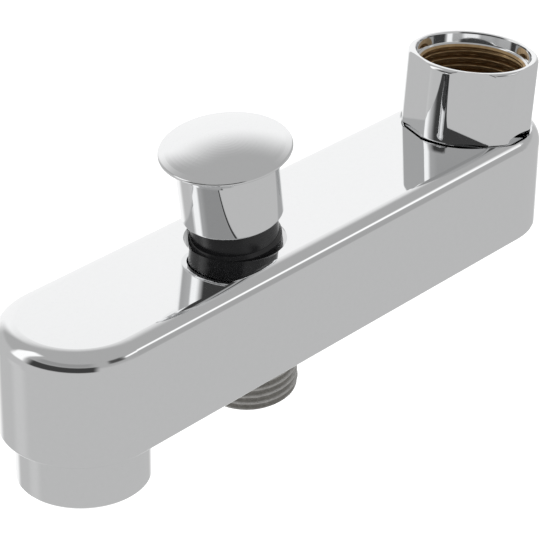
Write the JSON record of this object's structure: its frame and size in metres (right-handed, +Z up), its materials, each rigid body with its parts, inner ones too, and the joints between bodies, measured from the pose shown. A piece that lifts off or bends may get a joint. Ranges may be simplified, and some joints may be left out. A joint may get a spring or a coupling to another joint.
{
  "type": "bath spout",
  "caption": "Straight round-ended bath spout on a union nut, with a pull-up diverter knob on top, a threaded hose outlet below it and an aerator at the end.",
  "frame": {"origin": "centre of the inlet washer's sealing face, on the axis of the union nut", "axes": "+Z up along the inlet axis, out of the union nut; +X along the spout towards the aerator; +Y to the left of the spout seen from the inlet end"},
  "size_m": [0.163, 0.035, 0.0686],
  "materials": {
    "chrome": "polished",
    "plated": "satin",
    "brass": "turned",
    "steel": "satin",
    "black_plastic": "semi-gloss",
    "white_plastic": "matte",
    "rubber": "matte"
  },
  "bodies": {
    "spout": {"spout_body": "chrome", "inlet_tail": "brass", "inlet_washer": "rubber", "tail_o_ring": "rubber", "diverter_cartridge": "black_plastic", "cartridge_o_ring_upper": "rubber", "cartridge_o_ring_lower": "rubber", "hose_nipple": "plated", "nipple_o_ring": "rubber", "aerator_shell": "chrome", "aerator_gasket": "rubber", "aerator_cage": "white_plastic", "aerator_diffuser": "white_plastic", "aerator_screen_upper": "steel", "aerator_screen_lower": "steel", "aerator_spacer": "white_plastic", "aerator_grid": "white_plastic"},
    "nut": {"union_nut": "chrome"},
    "diverter": {"diverter_knob": "chrome", "diverter_stem": "brass", "stem_o_ring_upper": "rubber", "stem_o_ring_lower": "rubber", "valve_washer_upper": "rubber", "valve_disc": "brass", "valve_washer_lower": "rubber", "valve_plate": "brass", "valve_clip": "steel"}
  },
  "joints": [
    {"name": "nut_spin", "type": "hinge", "parent": "spout", "child": "nut", "pos_m": [0, 0, 0], "axis": [0, 0, 1], "continuous": true},
    {"name": "knob_lift", "type": "slide", "parent": "spout", "child": "diverter", "axis": [0.2284, 0, 0.9736], "range_m": [-0.0044, 0]}
  ]
}
